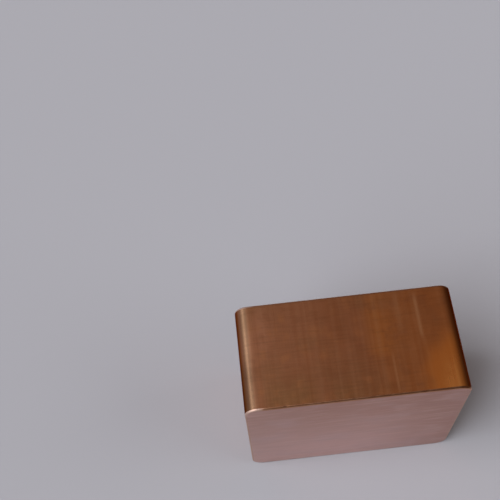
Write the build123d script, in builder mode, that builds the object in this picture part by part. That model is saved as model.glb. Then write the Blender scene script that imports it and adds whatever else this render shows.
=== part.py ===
from build123d import *
import os

# A copper ingot: one piece of solid bar stock, standing on one of its narrow sides.
# Millimetres, +Z up. The origin is the middle of the underside. The front face looks
# along -Y, and the four rounded corners of the bar run from the front to the back.

# Section of the bar, seen from the front
WIDTH = 100.0
HEIGHT = 86.0
CORNER_RADIUS = 6.0

# Length that was cut off the bar, from the front face to the back face
DEPTH = 50.0

# Rounding of the sharp edge that the cut left round each end face
ARRIS_RADIUS = 1.0

os.makedirs("parts", exist_ok=True)

with BuildPart() as ingot:
    # The sketch plane is the back face, so the bar grows towards the front
    with BuildSketch(Plane.XZ.offset(-DEPTH / 2)):
        with Locations((0, HEIGHT / 2)):
            RectangleRounded(WIDTH, HEIGHT, CORNER_RADIUS)
    extrude(amount=DEPTH)

    # One closed loop of tangent edges round each end face, corners included
    end_faces = faces().filter_by(Axis.Y)
    fillet(end_faces.edges(), ARRIS_RADIUS)

ingot.part.label = "ingot"
export_step(ingot.part, "parts/ingot.step")
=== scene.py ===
import math

import bmesh
import bpy
import numpy as np
from mathutils import Matrix, Vector


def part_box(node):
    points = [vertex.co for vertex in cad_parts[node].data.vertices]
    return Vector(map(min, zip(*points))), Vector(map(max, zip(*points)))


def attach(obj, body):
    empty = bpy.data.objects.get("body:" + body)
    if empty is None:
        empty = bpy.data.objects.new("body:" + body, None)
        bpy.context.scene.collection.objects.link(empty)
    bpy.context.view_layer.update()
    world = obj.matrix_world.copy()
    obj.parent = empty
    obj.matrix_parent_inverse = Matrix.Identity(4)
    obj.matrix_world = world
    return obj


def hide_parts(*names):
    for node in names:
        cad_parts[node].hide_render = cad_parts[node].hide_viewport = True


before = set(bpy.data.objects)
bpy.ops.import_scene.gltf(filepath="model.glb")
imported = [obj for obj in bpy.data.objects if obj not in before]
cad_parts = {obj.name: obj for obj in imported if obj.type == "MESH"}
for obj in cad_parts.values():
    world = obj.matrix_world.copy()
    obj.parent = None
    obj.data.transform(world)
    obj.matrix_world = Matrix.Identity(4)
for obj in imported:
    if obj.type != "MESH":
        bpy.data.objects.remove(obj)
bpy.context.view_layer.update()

# The block, in metres. Its box comes from the frame, and its two radii are those of its solid.
# The front face looks along -Y, and the bar runs from the front to the back.
LOW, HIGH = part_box("ingot")
WIDTH, DEPTH, HEIGHT = HIGH - LOW
CORNER_RADIUS = 0.0060
ARRIS_RADIUS = 0.0010

# Half the distance between the centres of the corner rounds, across and up
HALF_X = WIDTH / 2 - CORNER_RADIUS
HALF_Z = HEIGHT / 2 - CORNER_RADIUS

# How finely the block is meshed
FLAT_STEP = 0.00065
DEPTH_STEP = 0.0015
CORNER_STEPS = 12
ARRIS_STEPS = 6
CAP_RINGS = 5
# A ring this near the eased edge keeps the flats beside it from being shaded as if they curved
HOLD = 0.0002

# Its three finishes. Faces that look this squarely along the bar have the finish of a cut face.
SKIN, CUT, EDGE = range(3)
SQUARE_ENOUGH = 0.98

# Shallow lines that drawing left along the bar: how many, how wide, how deep, and how far each
# reaches as a share of the bar's length
DRAW_LINES = 90
DRAW_LINE_WIDTH = (0.0004, 0.0014)
DRAW_LINE_DEPTH = (0.000001, 0.000006)
DRAW_LINE_REACH = (0.3, 1.2)

# Faint waves that the saw left across both end faces: their length and depth, how far they bend
# along the width, and how much their depth changes up the height. A pace is in radians a metre.
SAW_WAVE = 0.0023
SAW_DEPTH = 0.000004
SAW_BEND = 1.5
SAW_BEND_PACE = 40
SAW_SWELL = 0.4
SAW_SWELL_PACE = 170
SAW_SWELL_START = 1.0

# Small dents on the eased edges
NICKS = 14
NICK_SIZE = (0.0005, 0.0010)
NICK_DEPTH = (0.00002, 0.00007)
NICK_INSET = 0.3 * ARRIS_RADIUS

# Start of the random draws, and how sharply the skin's relief gives way to the end faces'
RELIEF_SEED = 7
RELIEF_PARTING = 8

# Camera, from the edges of the block in the photograph: metres, degrees and pixels
CAMERA_PLACE = (-0.04159, -0.14149, 0.44505)
CAMERA_BELOW_HORIZON = 61.446
CAMERA_TURN = -0.579
CAMERA_ROLL = -5.831
FOCAL_PIXELS = 861.5
PHOTO_PIXELS = 500
SENSOR_MM = 36.0
NEAR_CLIP = 0.01


def add_camera():
    """The camera of the photograph."""
    data = bpy.data.cameras.new("camera")
    data.sensor_width = SENSOR_MM
    data.lens = FOCAL_PIXELS * SENSOR_MM / PHOTO_PIXELS
    data.clip_start = NEAR_CLIP
    camera = bpy.data.objects.new("camera", data)
    bpy.context.scene.collection.objects.link(camera)
    turn = Matrix.Rotation(math.radians(CAMERA_TURN), 4, "Z")
    tilt = Matrix.Rotation(math.radians(90 - CAMERA_BELOW_HORIZON), 4, "X")
    roll = Matrix.Rotation(math.radians(CAMERA_ROLL), 4, "Z")
    camera.matrix_world = Matrix.Translation(CAMERA_PLACE) @ turn @ tilt @ roll
    bpy.context.scene.camera = camera


# The mesh of the block

def grid_counts():
    """Squares across and up the flat middle of an end face."""
    return round(2 * HALF_X / FLAT_STEP), round(2 * HALF_Z / FLAT_STEP)


def section_loop(reach):
    """Points (x, z) of the bar's section, anticlockwise seen from the front.

    The loop is the outline of the rectangle between the corner centres, grown by reach."""
    across, upward = grid_counts()
    corners = [(1, -1, -90), (1, 1, 0), (-1, 1, 90), (-1, -1, 180)]
    counts = [upward, across, upward, across]

    def corner_point(k, degrees):
        side_x, side_z, _ = corners[k % 4]
        a = math.radians(degrees)
        centre = np.array([side_x * HALF_X, side_z * HALF_Z + HEIGHT / 2])
        return centre + reach * np.array([math.cos(a), math.sin(a)])

    points = []
    for k, (_, _, start) in enumerate(corners):
        points += [corner_point(k, start + 90 * i / CORNER_STEPS) for i in range(CORNER_STEPS + 1)]
        first = points[-1]
        last = corner_point(k + 1, start + 90)
        points += [first + (last - first) * i / counts[k] for i in range(1, counts[k])]
    return np.array(points)


def rings():
    """(y, reach) of each ring of the bar's skin, from the front face's edge to the back face's."""
    half = DEPTH / 2
    arris = []
    for i in range(ARRIS_STEPS):
        a = math.pi / 2 * i / ARRIS_STEPS
        arris.append((half - ARRIS_RADIUS + ARRIS_RADIUS * math.cos(a),
                      CORNER_RADIUS - ARRIS_RADIUS + ARRIS_RADIUS * math.sin(a)))
    flat = half - ARRIS_RADIUS
    steps = round(2 * flat / DEPTH_STEP)
    inside = [-flat + 2 * flat * i / steps for i in range(1, steps)]
    places = [-flat, -flat + HOLD] + inside + [flat - HOLD, flat]
    skin = [(y, CORNER_RADIUS) for y in places]
    return [(-y, reach) for y, reach in arris] + skin + [(y, reach) for y, reach in reversed(arris)]


def cap_reaches():
    """Reach of each ring on an end face, from the eased edge inwards."""
    inner = CORNER_RADIUS - ARRIS_RADIUS
    return [inner - HOLD] + [inner * (1 - k / CAP_RINGS) for k in range(1, CAP_RINGS)]


def cap_grid(y):
    """Points of the grid that fills the flat middle of an end face."""
    across, upward = grid_counts()
    return [(HALF_X * (2 * i / across - 1), y, HALF_Z * (2 * j / upward - 1) + HEIGHT / 2)
            for j in range(upward + 1) for i in range(across + 1)]


def cap_squares(grid):
    """Squares of that grid, whose first point has the number grid."""
    across, upward = grid_counts()
    row = across + 1
    starts = [grid + j * row + i for j in range(upward) for i in range(across)]
    return [(a, a + 1, a + row + 1, a + row) for a in starts]


def cap_border():
    """Grid places (i, j) on the rim of an end face's grid, one for each point of the section's loop."""
    across, upward = grid_counts()
    sides = [(across, 0, 0, 1, upward), (across, upward, -1, 0, across),
             (0, upward, 0, -1, upward), (0, 0, 1, 0, across)]
    border = []
    for i0, j0, di, dj, n in sides:
        border += [(i0, j0)] * (CORNER_STEPS + 1)
        border += [(i0 + di * s, j0 + dj * s) for s in range(1, n)]
    return border


def cap_rim(grid, ring):
    """Faces between the rim of an end face's grid and the ring round it, with triangles at the corners."""
    across, _ = grid_counts()
    border = [grid + j * (across + 1) + i for i, j in cap_border()]
    faces = []
    for i, here in enumerate(border):
        j = (i + 1) % len(border)
        outside = (ring + j, ring + i)
        faces.append((border[j], *outside) if here == border[j] else (here, border[j], *outside))
    return faces


def block_geometry():
    """Vertices and faces of the closed block: a skin of rings, and rings and a grid on each end face."""
    verts = []
    faces = []
    count = len(section_loop(CORNER_RADIUS))

    def add_loop(y, reach):
        start = len(verts)
        verts.extend((x, y, z) for x, z in section_loop(reach))
        return start

    def add_faces(made, outward):
        faces.extend(face if outward else face[::-1] for face in made)

    def bridge(first, second, outward):
        pairs = [(i, (i + 1) % count) for i in range(count)]
        add_faces([(first + i, first + j, second + j, second + i) for i, j in pairs], outward)

    starts = [add_loop(y, reach) for y, reach in rings()]
    for a, b in zip(starts, starts[1:]):
        bridge(a, b, True)

    for y, previous, front in ((-DEPTH / 2, starts[0], True), (DEPTH / 2, starts[-1], False)):
        for reach in cap_reaches():
            ring = add_loop(y, reach)
            bridge(ring, previous, front)
            previous = ring
        grid = len(verts)
        verts.extend(cap_grid(y))
        add_faces(cap_squares(grid), front)
        add_faces(cap_rim(grid, previous), front)
    return verts, faces


# The relief of the block

def place_around(points):
    """Distance of each point round the bar's section, in metres."""
    outline = section_loop(CORNER_RADIUS)
    steps = np.linalg.norm(np.roll(outline, -1, axis=0) - outline, axis=1)
    walked = np.concatenate(([0], np.cumsum(steps)[:-1]))
    angle = np.arctan2(outline[:, 1] - HEIGHT / 2, outline[:, 0])
    order = np.argsort(angle)
    walked = np.unwrap(walked[order], period=steps.sum())
    return np.interp(np.arctan2(points[:, 2] - HEIGHT / 2, points[:, 0]), angle[order], walked)


def draw_lines(points, chance):
    """Depth of the shallow lines along the bar, at each point of its skin."""
    place = place_around(points)
    depth = np.zeros(len(points))
    for _ in range(DRAW_LINES):
        middle = chance.uniform(place.min(), place.max())
        width = chance.uniform(*DRAW_LINE_WIDTH)
        deep = chance.uniform(*DRAW_LINE_DEPTH)
        middle_y = chance.uniform(-DEPTH / 2, DEPTH / 2)
        reach_y = chance.uniform(*DRAW_LINE_REACH) * DEPTH
        fade = np.exp(-((points[:, 1] - middle_y) / reach_y) ** 4)
        depth += deep * fade * np.exp(-((place - middle) / width) ** 2)
    return depth


def saw_waves(points):
    """Depth of the faint waves across the end faces."""
    bend = SAW_BEND * np.sin(SAW_BEND_PACE * points[:, 0])
    wave = 1 + np.sin(2 * math.pi * points[:, 2] / SAW_WAVE + bend)
    swell = 1 - SAW_SWELL + SAW_SWELL * np.sin(SAW_SWELL_PACE * points[:, 2] + SAW_SWELL_START)
    return SAW_DEPTH * swell * wave


def nicks(points, chance):
    """Depth of the small dents on the eased edges, by turns at the back and at the front."""
    edge = section_loop(CORNER_RADIUS - NICK_INSET)
    depth = np.zeros(len(points))
    for k in range(NICKS):
        x, z = edge[chance.integers(len(edge))]
        y = (DEPTH / 2 - NICK_INSET) * (-1 if k % 2 else 1)
        size = chance.uniform(*NICK_SIZE)
        distance = np.linalg.norm(points - np.array([x, y, z]), axis=1)
        depth += chance.uniform(*NICK_DEPTH) * np.exp(-(distance / size) ** 2)
    return depth


def add_relief(mesh):
    """Sink the tool marks and dents into the surface, so that nothing stands proud of the solid."""
    points = np.empty(3 * len(mesh.vertices), dtype=np.float32)
    normals = np.empty(3 * len(mesh.vertices), dtype=np.float32)
    mesh.vertices.foreach_get("co", points)
    mesh.vertices.foreach_get("normal", normals)
    points = points.reshape(-1, 3)
    normals = normals.reshape(-1, 3)
    chance = np.random.default_rng(RELIEF_SEED)
    on_face = np.abs(normals[:, 1]) ** RELIEF_PARTING
    depth = (1 - on_face) * draw_lines(points, chance) + on_face * saw_waves(points) + nicks(points, chance)
    points = points - normals * depth[:, None]
    mesh.vertices.foreach_set("co", points.astype(np.float32).ravel())
    mesh.update()


def finish_of(polygon):
    """The finish on one face of the block."""
    if abs(polygon.center.y) < DEPTH / 2 - ARRIS_RADIUS:
        return SKIN
    return CUT if abs(polygon.normal.y) > SQUARE_ENOUGH else EDGE


def build_ingot():
    """The block, with its skin, its cut faces and its eased edges as three finishes."""
    verts, faces = block_geometry()
    mesh = bpy.data.meshes.new("copper_ingot")
    mesh.from_pydata(verts, [], faces)
    mesh.validate()
    bm = bmesh.new()
    bm.from_mesh(mesh)
    bmesh.ops.recalc_face_normals(bm, faces=bm.faces)
    bm.to_mesh(mesh)
    bm.free()
    for finish in (bar_skin(), cut_face(), eased_edge()):
        mesh.materials.append(finish)
    for polygon in mesh.polygons:
        polygon.material_index = finish_of(polygon)
    add_relief(mesh)
    mesh.polygons.foreach_set("use_smooth", [True] * len(mesh.polygons))
    ingot = bpy.data.objects.new("copper_ingot", mesh)
    bpy.context.scene.collection.objects.link(ingot)
    return ingot


# Small helpers for the materials. A span is a pair of values: a step begins at the first of them and
# is full at the second, which may be the lower one.

def add_node(tree, kind, inputs=None, **settings):
    """A new node with its settings. An input that is a socket is linked, and any other is set."""
    made = tree.nodes.new(kind)
    for name, value in settings.items():
        setattr(made, name, value)
    for name, value in (inputs or {}).items():
        if isinstance(value, bpy.types.NodeSocket):
            tree.links.new(value, made.inputs[name])
        else:
            made.inputs[name].default_value = value
    return made


def maths(tree, operation, *values):
    """The result of one operation on a few values."""
    return add_node(tree, "ShaderNodeMath", dict(enumerate(values)), operation=operation).outputs[0]


def stretched_noise(tree, where, cells, detail=2.0):
    """Noise from 0 to 1, with so many cells to the metre along x, y and z."""
    scaled = add_node(tree, "ShaderNodeVectorMath", {0: where, 1: cells}, operation="MULTIPLY")
    noise = add_node(tree, "ShaderNodeTexNoise",
                     {"Vector": scaled.outputs[0], "Scale": 1.0, "Detail": detail})
    return noise.outputs["Fac"]


def ease(tree, value, span, results=(0.0, 1.0)):
    """A smooth step from the first result to the second, as the value goes over the span."""
    step = add_node(tree, "ShaderNodeMapRange",
                    {"Value": value, "From Min": span[0], "From Max": span[1],
                     "To Min": results[0], "To Max": results[1]},
                    interpolation_type="SMOOTHSTEP")
    return step.outputs["Result"]


def overlap(tree, *steps):
    """The share where several smooth steps meet. Each step is a value and its span."""
    share = 1.0
    for value, span in steps:
        share = maths(tree, "MULTIPLY", share, ease(tree, value, span))
    return share


def blend(tree, share, first, second):
    """The first colour, and the second where the share is 1."""
    mix = add_node(tree, "ShaderNodeMix", data_type="RGBA")
    for name, value in (("Factor", share), ("A", first), ("B", second)):
        socket = next(s for s in mix.inputs if s.name == name and s.enabled)
        if isinstance(value, bpy.types.NodeSocket):
            tree.links.new(value, socket)
        else:
            socket.default_value = (*value, 1)
    return next(s for s in mix.outputs if s.enabled)


def tint(tree, colour, value, tones):
    """The colour, turned towards each tone in its turn. A tone is (span, share, colour), and its
    share grows from 0 as the value goes over the span."""
    for span, share, tone in tones:
        colour = blend(tree, ease(tree, value, span, (0.0, share)), colour, tone)
    return colour


def new_metal(name):
    """A new bare metal with its nodes and its shader, the place on the block, and its coordinates."""
    material = bpy.data.materials.new(name)
    material.use_nodes = True
    tree = material.node_tree
    shader = tree.nodes["Principled BSDF"]
    shader.inputs["Metallic"].default_value = 1
    where = add_node(tree, "ShaderNodeTexCoord").outputs["Object"]
    split = add_node(tree, "ShaderNodeSeparateXYZ", {0: where})
    return material, tree, shader, where, split.outputs


def add_grain(tree, shader, where, cells, height):
    """Grain too fine for the mesh, in the shading only."""
    fine = stretched_noise(tree, where, cells)
    bump = add_node(tree, "ShaderNodeBump", {"Height": fine, "Strength": 1.0, "Distance": height})
    tree.links.new(bump.outputs["Normal"], shader.inputs["Normal"])


# Colours are linear red, green and blue, and places are in metres. Most of the noise lies within
# NOISE_SPAN.
NOISE_SPAN = (0.3, 0.7)
FINE_DETAIL = 3.0

# The drawn skin: its tone at the left, the tones across it, and the tint of its shine at a grazing
# angle. The last tone across it, a paler band along the left round, is a painted highlight.
SKIN_LEFT = (0.63, 0.355, 0.220)
SKIN_ACROSS = [((-0.050, -0.005), 1.0, (0.63, 0.335, 0.195)),
               ((0.002, 0.020), 1.0, (0.69, 0.345, 0.150)),
               ((-0.0390, -0.0435), 1.0, (0.74, 0.415, 0.258))]
SKIN_EDGE_TINT = (0.35, 0.20, 0.12)

# A duller part at the left front: from the left, from the right and from the back
DULL = (0.53, 0.325, 0.175)
DULL_LEFT = (-0.044, -0.036)
DULL_RIGHT = (0.030, -0.010)
DULL_BACK = (-0.004, -0.020)

# Stripes along the top: middle, half width, from and to along the bar, and then the colour of a broad
# tone or the share of a pale line. A stripe fades out over twice this length at each end. The third
# broad tone carries the left round's painted highlight onto the back half of the top.
BROAD_TONES = [(0.0145, 0.0095, -0.006, 0.028, (0.80, 0.405, 0.155)),
               (-0.0040, 0.0070, 0.002, 0.028, (0.58, 0.300, 0.165)),
               (-0.0390, 0.0070, 0.003, 0.022, (0.74, 0.415, 0.265)),
               (-0.0140, 0.0080, -0.028, -0.007, (0.60, 0.340, 0.200))]
PALE_LINES = [(0.0322, 0.0015, 0.001, 0.021, 0.80),
              (0.0178, 0.0010, -0.023, -0.006, 0.45),
              (0.0235, 0.0020, 0.004, 0.022, 0.25)]
PALE_LINE = (0.90, 0.590, 0.360)
STRIPE_FADE = 0.003
TOP_ONLY = (HEIGHT - 0.002, HEIGHT - 0.001)

# Noise in the skin, by cells to the metre, and the tones that each noise brings in
MOTTLE_CELLS = (55, 45, 55)
MOTTLE_TONES = [((0.45, 0.75), 1.0, (0.56, 0.325, 0.185))]
BAND_CELLS = (420, 9, 420)
BAND_TONES = [((0.50, 0.80), 0.22, (0.72, 0.405, 0.240)),
              ((0.48, 0.25), 0.18, (0.54, 0.285, 0.160))]
BLOTCH_CELLS = (170, 130, 170)
BLOTCH_TONES = [((0.50, 0.75), 0.45, (0.80, 0.430, 0.210)),
                ((0.48, 0.28), 0.42, (0.52, 0.270, 0.150))]
CROSS_CELLS = (90, 1100, 90)
CROSS_TONES = [((0.40, 0.70), 0.20, (0.76, 0.430, 0.250)),
               ((0.48, 0.30), 0.22, (0.50, 0.270, 0.150))]
SKIN_GRAIN = (2400, 24, 2400)
SKIN_GRAIN_HEIGHT = 0.000012
SKIN_ROUGHNESS = (0.15, 0.24)

# A bright orange patch round the right front corner of the top, a painted reflection, and a rougher
# scoured patch inside it. Distances along the bar count for less, and noise makes the outline ragged.
PATCH_SQUEEZE = 0.75
PATCH_MIDDLE = (WIDTH / 2, -DEPTH / 2 * PATCH_SQUEEZE, HEIGHT)
PATCH_RAGGED = 0.012
PAINTED_REFLECTION_TONES = [((0.030, 0.021), 1.0, (1.00, 0.480, 0.145))]
SCOURED_REACH = (0.024, 0.010)
SCOURED_SPAN = (0.25, 0.65)
SCOURED_SHARES = (0.4, 1.0)
SCOURED_ROUGHNESS = 0.15

# Darker, browner outer rims of the rounds, carried on down both sides, with noise of its own tones.
# On the rims this is a painted dark reflection.
DARK_RIM_TONE = (0.385, 0.150, 0.078)
DARK_RIM_MOTTLE = [((0.40, 0.70), 1.0, (0.335, 0.135, 0.070))]
DARK_RIM_BANDS = [((0.50, 0.80), 0.55, (0.500, 0.225, 0.130)),
                 ((0.48, 0.25), 0.50, (0.270, 0.100, 0.050))]
RIGHT_RIM = (0.0456, 0.0483)
LEFT_RIM = (-0.0465, -0.0488)

# Painted shade on the left round's front half: where it comes in across, up and along the bar, and its
# share short of the rim and on it
LEFT_ROUND_PAINTED_SHADE = (0.180, 0.090, 0.045)
LEFT_ROUND_SHADE_ACROSS = (-0.0420, -0.0445)
LEFT_ROUND_SHADE_UP = (HEIGHT - 0.009, HEIGHT - 0.005)
LEFT_ROUND_SHADE_ALONG = (0.003, -0.008)
LEFT_ROUND_SHADE_RIM = (-0.0460, -0.0485)
LEFT_ROUND_SHADE_SHARES = (0.31, 0.52)


def stripe(tree, axes, x, width, y_from, y_to):
    """Share of a soft stripe along the bar, on the top face."""
    offset = maths(tree, "SUBTRACT", axes["X"], x)
    apart = maths(tree, "ABSOLUTE", offset)
    start = (y_from - STRIPE_FADE, y_from + STRIPE_FADE)
    end = (y_to + STRIPE_FADE, y_to - STRIPE_FADE)
    return overlap(tree, (apart, (width, 0.0)), (axes["Z"], TOP_ONLY), (axes["Y"], start), (axes["Y"], end))


def skin_tones(tree, axes):
    """The skin's broad tones: duller at the left front, more orange towards the right, and a paler band
    along the left round, a painted highlight.
    """
    colour = tint(tree, SKIN_LEFT, axes["X"], SKIN_ACROSS)
    dull = overlap(tree, (axes["X"], DULL_LEFT), (axes["X"], DULL_RIGHT), (axes["Y"], DULL_BACK))
    colour = blend(tree, dull, colour, DULL)
    for *place, tone in BROAD_TONES:
        colour = blend(tree, stripe(tree, axes, *place), colour, tone)
    return colour


def patch_distance(tree, where, mottle):
    """Distance from the right front corner of the top, with its ragged outline."""
    squeezed = add_node(tree, "ShaderNodeVectorMath", {0: where, 1: (1.0, PATCH_SQUEEZE, 1.0)},
                        operation="MULTIPLY")
    distance = add_node(tree, "ShaderNodeVectorMath", {0: squeezed.outputs[0], 1: PATCH_MIDDLE},
                        operation="DISTANCE")
    return maths(tree, "MULTIPLY_ADD", mottle, PATCH_RAGGED, distance.outputs["Value"])


def with_painted_shade(tree, axes, colour, mottle, bands):
    """The colour with a painted dark reflection on the outer rims, carried on down both sides, and painted
    shade on the left round's front half.
    """
    dark_rim = tint(tree, DARK_RIM_TONE, mottle, DARK_RIM_MOTTLE)
    dark_rim = tint(tree, dark_rim, bands, DARK_RIM_BANDS)
    # Painted dark reflection on the outer rims of the rounds, carried on down both sides
    rims = maths(tree, "MAXIMUM", ease(tree, axes["X"], RIGHT_RIM), ease(tree, axes["X"], LEFT_RIM))
    colour = blend(tree, rims, colour, dark_rim)
    # Painted shade: the darker front half of the left round
    left_round_shade = overlap(tree, (axes["X"], LEFT_ROUND_SHADE_ACROSS), (axes["Z"], LEFT_ROUND_SHADE_UP), (axes["Y"], LEFT_ROUND_SHADE_ALONG))
    left_round_shade = maths(tree, "MULTIPLY", left_round_shade, ease(tree, axes["X"], LEFT_ROUND_SHADE_RIM, LEFT_ROUND_SHADE_SHARES))
    return blend(tree, left_round_shade, colour, LEFT_ROUND_PAINTED_SHADE)


def bar_skin():
    """Drawn skin of the bar: brown copper with lines along it, more orange towards the right."""
    material, tree, shader, where, axes = new_metal("bar_skin")
    shader.inputs["Specular Tint"].default_value = (*SKIN_EDGE_TINT, 1)
    mottle = stretched_noise(tree, where, MOTTLE_CELLS, FINE_DETAIL)
    bands = stretched_noise(tree, where, BAND_CELLS, FINE_DETAIL)
    blotches = stretched_noise(tree, where, BLOTCH_CELLS)
    cross = stretched_noise(tree, where, CROSS_CELLS)
    patch = patch_distance(tree, where, mottle)

    colour = skin_tones(tree, axes)
    colour = tint(tree, colour, mottle, MOTTLE_TONES)
    colour = tint(tree, colour, bands, BAND_TONES)
    colour = tint(tree, colour, blotches, BLOTCH_TONES)
    colour = tint(tree, colour, cross, CROSS_TONES)
    # Painted reflection: the bright orange patch round the right front corner of the top
    colour = tint(tree, colour, patch, PAINTED_REFLECTION_TONES)
    for *place, share in PALE_LINES:
        line = maths(tree, "MULTIPLY", stripe(tree, axes, *place), share)
        colour = blend(tree, line, colour, PALE_LINE)
    # Painted dark reflection on the outer rims, and painted shade on the left round's front half
    colour = with_painted_shade(tree, axes, colour, mottle, bands)
    tree.links.new(colour, shader.inputs["Base Color"])

    rough = ease(tree, bands, NOISE_SPAN, SKIN_ROUGHNESS)
    uneven = ease(tree, blotches, SCOURED_SPAN, SCOURED_SHARES)
    scoured = maths(tree, "MULTIPLY", ease(tree, patch, SCOURED_REACH), uneven)
    rougher = maths(tree, "MULTIPLY_ADD", scoured, SCOURED_ROUGHNESS, rough)
    tree.links.new(rougher, shader.inputs["Roughness"])
    add_grain(tree, shader, where, SKIN_GRAIN, SKIN_GRAIN_HEIGHT)
    return material


# The cut faces: the tone at the foot, the tones up and across, and noise with the tones it brings in.
# The darkening up the face and towards its right edge is painted shade.
CUT_FOOT = (0.718, 0.443, 0.392)
CUT_UP = [((0.0, HEIGHT), 1.0, (0.500, 0.247, 0.179))]
CUT_ACROSS = [((-0.010, -0.052), 0.45, (0.600, 0.350, 0.290)),
              ((0.000, 0.050), 0.85, (0.455, 0.219, 0.160))]
CUT_MOTTLE_CELLS = (45, 45, 60)
CUT_MOTTLE_TONES = [((0.45, 0.75), 0.6, (0.600, 0.375, 0.345))]
STREAK_CELLS = (28, 28, 900)
STREAK_TONES = [((0.50, 0.80), 0.6, (0.740, 0.480, 0.410))]
CUT_BLOTCH_CELLS = (70, 70, 420)
CUT_BLOTCH_TONES = [((0.50, 0.75), 0.22, (0.760, 0.490, 0.440)),
                    ((0.48, 0.28), 0.20, (0.480, 0.260, 0.210))]
CUT_GRAIN = (60, 60, 2600)
CUT_GRAIN_HEIGHT = 0.000008
CUT_ROUGHNESS = (0.30, 0.40)


def cut_face():
    """Sawn end face: pinker and paler than the skin, with faint streaks across it, and painted shade towards
    its top and its right edge.
    """
    material, tree, shader, where, axes = new_metal("cut_face")
    mottle = stretched_noise(tree, where, CUT_MOTTLE_CELLS, FINE_DETAIL)
    streaks = stretched_noise(tree, where, STREAK_CELLS, FINE_DETAIL)
    blotches = stretched_noise(tree, where, CUT_BLOTCH_CELLS)

    # Painted shade: darker up the face and towards its right edge
    colour = tint(tree, CUT_FOOT, axes["Z"], CUT_UP)
    colour = tint(tree, colour, axes["X"], CUT_ACROSS)
    colour = tint(tree, colour, mottle, CUT_MOTTLE_TONES)
    colour = tint(tree, colour, streaks, STREAK_TONES)
    colour = tint(tree, colour, blotches, CUT_BLOTCH_TONES)
    tree.links.new(colour, shader.inputs["Base Color"])
    tree.links.new(ease(tree, streaks, NOISE_SPAN, CUT_ROUGHNESS), shader.inputs["Roughness"])
    add_grain(tree, shader, where, CUT_GRAIN, CUT_GRAIN_HEIGHT)
    return material


# The eased edges, with scuffs all over and a rougher stretch at the upper left, whose paler colour is a
# painted highlight
EDGE_TONE = (0.535, 0.262, 0.145)
SCUFF_CELLS = (350, 350, 350)
SCUFF_TONES = [((0.35, 0.65), 1.0, (0.580, 0.305, 0.180))]
EDGE_ROUGHNESS = (0.28, 0.30)
EDGE_PAINTED_HIGHLIGHT = (0.600, 0.420, 0.350)
HIGHLIGHT_STRETCH_ACROSS = (-0.0400, -0.0440)
HIGHLIGHT_STRETCH_UP = (HEIGHT - 0.009, HEIGHT - 0.004)
HIGHLIGHT_STRETCH_ROUGHNESS = 0.30


def eased_edge():
    """Deburred edge round each end face: brighter, and scuffed, with a painted highlight at the upper left.
    """
    material, tree, shader, where, axes = new_metal("eased_edge")
    scuffs = stretched_noise(tree, where, SCUFF_CELLS)
    highlight_stretch = overlap(tree, (axes["X"], HIGHLIGHT_STRETCH_ACROSS), (axes["Z"], HIGHLIGHT_STRETCH_UP))
    colour = tint(tree, EDGE_TONE, scuffs, SCUFF_TONES)
    # Painted highlight: the paler colour of the rougher stretch at the upper left
    colour = blend(tree, highlight_stretch, colour, EDGE_PAINTED_HIGHLIGHT)
    tree.links.new(colour, shader.inputs["Base Color"])
    rough = ease(tree, scuffs, NOISE_SPAN, EDGE_ROUGHNESS)
    rougher = maths(tree, "MULTIPLY_ADD", highlight_stretch, HIGHLIGHT_STRETCH_ROUGHNESS, rough)
    tree.links.new(rougher, shader.inputs["Roughness"])
    return material


# The floor, the lamps and the room. The room's colours go with the height of the direction, 0 at the
# horizon and 1 overhead.
FLOOR_REACH = 4.0
FLOOR_TONE = (0.43, 0.435, 0.48)
ROOM_LEFT = [(0.0, (0.410, 0.405, 0.440)), (0.18, (0.31, 0.30, 0.30)), (0.36, (0.33, 0.32, 0.32)),
             (0.50, (0.42, 0.43, 0.43)), (0.62, (0.57, 0.58, 0.57)), (0.72, (0.38, 0.37, 0.35)),
             (0.84, (0.30, 0.28, 0.27)), (0.94, (0.60, 0.50, 0.46))]
ROOM_RIGHT = [(0.0, (0.410, 0.405, 0.440)), (0.05, (0.37, 0.36, 0.38)), (0.15, (0.09, 0.046, 0.026)),
              (0.34, (0.10, 0.055, 0.032)), (0.65, (0.15, 0.090, 0.065)), (0.93, (0.21, 0.120, 0.080))]
ROOM_FRONT = (0.06, 0.040, 0.03)

# Spans of the direction's parts: where left turns into right, and where the room's front comes in
# along the depth, across and up
ROOM_TURN = (-0.45, 0.20)
FRONT_ALONG = (0.25, -0.15)
FRONT_ACROSS = (-0.15, 0.10)
FRONT_UP = (0.15, 0.35)


def add_flat(name, corners):
    """A flat piece with four corners, and the nodes of its own material."""
    mesh = bpy.data.meshes.new(name)
    mesh.from_pydata(corners, [], [(0, 1, 2, 3)])
    piece = bpy.data.objects.new(name, mesh)
    bpy.context.scene.collection.objects.link(piece)
    material = bpy.data.materials.new(name)
    material.use_nodes = True
    mesh.materials.append(material)
    return piece, material.node_tree


def add_floor():
    """A plain pale floor, wide enough for every view."""
    far = FLOOR_REACH
    floor, tree = add_flat("floor", [(-far, -far, 0), (far, -far, 0), (far, far, 0), (-far, far, 0)])
    shader = tree.nodes["Principled BSDF"]
    shader.inputs["Base Color"].default_value = (*FLOOR_TONE, 1)
    shader.inputs["Roughness"].default_value = 1
    shader.inputs["Specular IOR Level"].default_value = 0


def add_lamp(name, towards, angle, strength, colour, shine=True):
    """A soft lamp, far off in the given direction. It shows in the metal's shine or not."""
    data = bpy.data.lights.new(name, "SUN")
    data.angle = math.radians(angle)
    data.energy = strength
    data.color = colour
    lamp = bpy.data.objects.new(name, data)
    bpy.context.scene.collection.objects.link(lamp)
    lamp.visible_glossy = shine
    lamp.rotation_mode = "QUATERNION"
    lamp.rotation_quaternion = Vector(towards).to_track_quat("Z", "Y")


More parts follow.
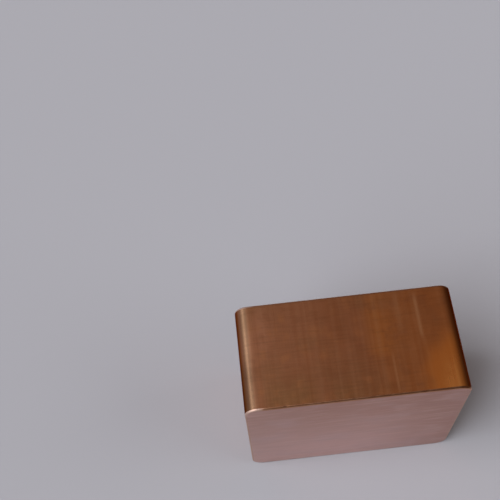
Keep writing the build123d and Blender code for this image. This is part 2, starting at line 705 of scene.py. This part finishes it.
def add_card(name, x, reach, height, colour):
    """A dim card that stands beside the block and is seen in its shine only."""
    card, tree = add_flat(name, [(x, -reach, 0), (x, reach, 0), (x, reach, height), (x, -reach, height)])
    glow = add_node(tree, "ShaderNodeEmission", {"Color": (*colour, 1)})
    tree.links.new(glow.outputs[0], tree.nodes["Material Output"].inputs["Surface"])
    card.visible_camera = False
    card.visible_diffuse = False
    card.visible_shadow = False
    card.visible_transmission = False


def room_ramp(tree, height, stops):
    """A colour that goes with the height of the direction."""
    ramp = add_node(tree, "ShaderNodeValToRGB", {"Fac": height})
    elements = ramp.color_ramp.elements
    while len(elements) < len(stops):
        elements.new(1.0)
    for element, (position, colour) in zip(elements, stops):
        element.position = position
        element.color = (*colour, 1)
    return ramp.outputs["Color"]


def add_world():
    """A dim room: pale at the horizon and on the left, and dark brown in front and on the right."""
    world = bpy.data.worlds.new("room")
    world.use_nodes = True
    bpy.context.scene.world = world
    tree = world.node_tree
    where = add_node(tree, "ShaderNodeTexCoord").outputs["Generated"]
    axes = add_node(tree, "ShaderNodeSeparateXYZ", {0: where}).outputs
    left = room_ramp(tree, axes["Z"], ROOM_LEFT)
    right = room_ramp(tree, axes["Z"], ROOM_RIGHT)
    colour = blend(tree, ease(tree, axes["X"], ROOM_TURN), left, right)
    front = overlap(tree, (axes["Y"], FRONT_ALONG), (axes["X"], FRONT_ACROSS), (axes["Z"], FRONT_UP))
    colour = blend(tree, front, colour, ROOM_FRONT)
    tree.links.new(colour, tree.nodes["Background"].inputs["Color"])


add_camera()
ingot = build_ingot()
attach(ingot, "root")
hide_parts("ingot")
add_floor()
add_world()
add_lamp("key", towards=(-0.59, -0.19, 0.79), angle=44, strength=2.2, colour=(0.97, 0.98, 1.0))
add_lamp("window", towards=(-0.72, -0.60, 0.34), angle=38, strength=0.55, colour=(0.92, 0.97, 1.0))
add_lamp("fill", towards=(0.83, -0.18, 0.53), angle=45, strength=0.70, colour=(1.0, 0.98, 0.95), shine=False)
add_card("dark_card", x=0.18, reach=0.6, height=0.12, colour=(0.09, 0.055, 0.033))
bpy.context.scene.view_settings.view_transform = "Standard"
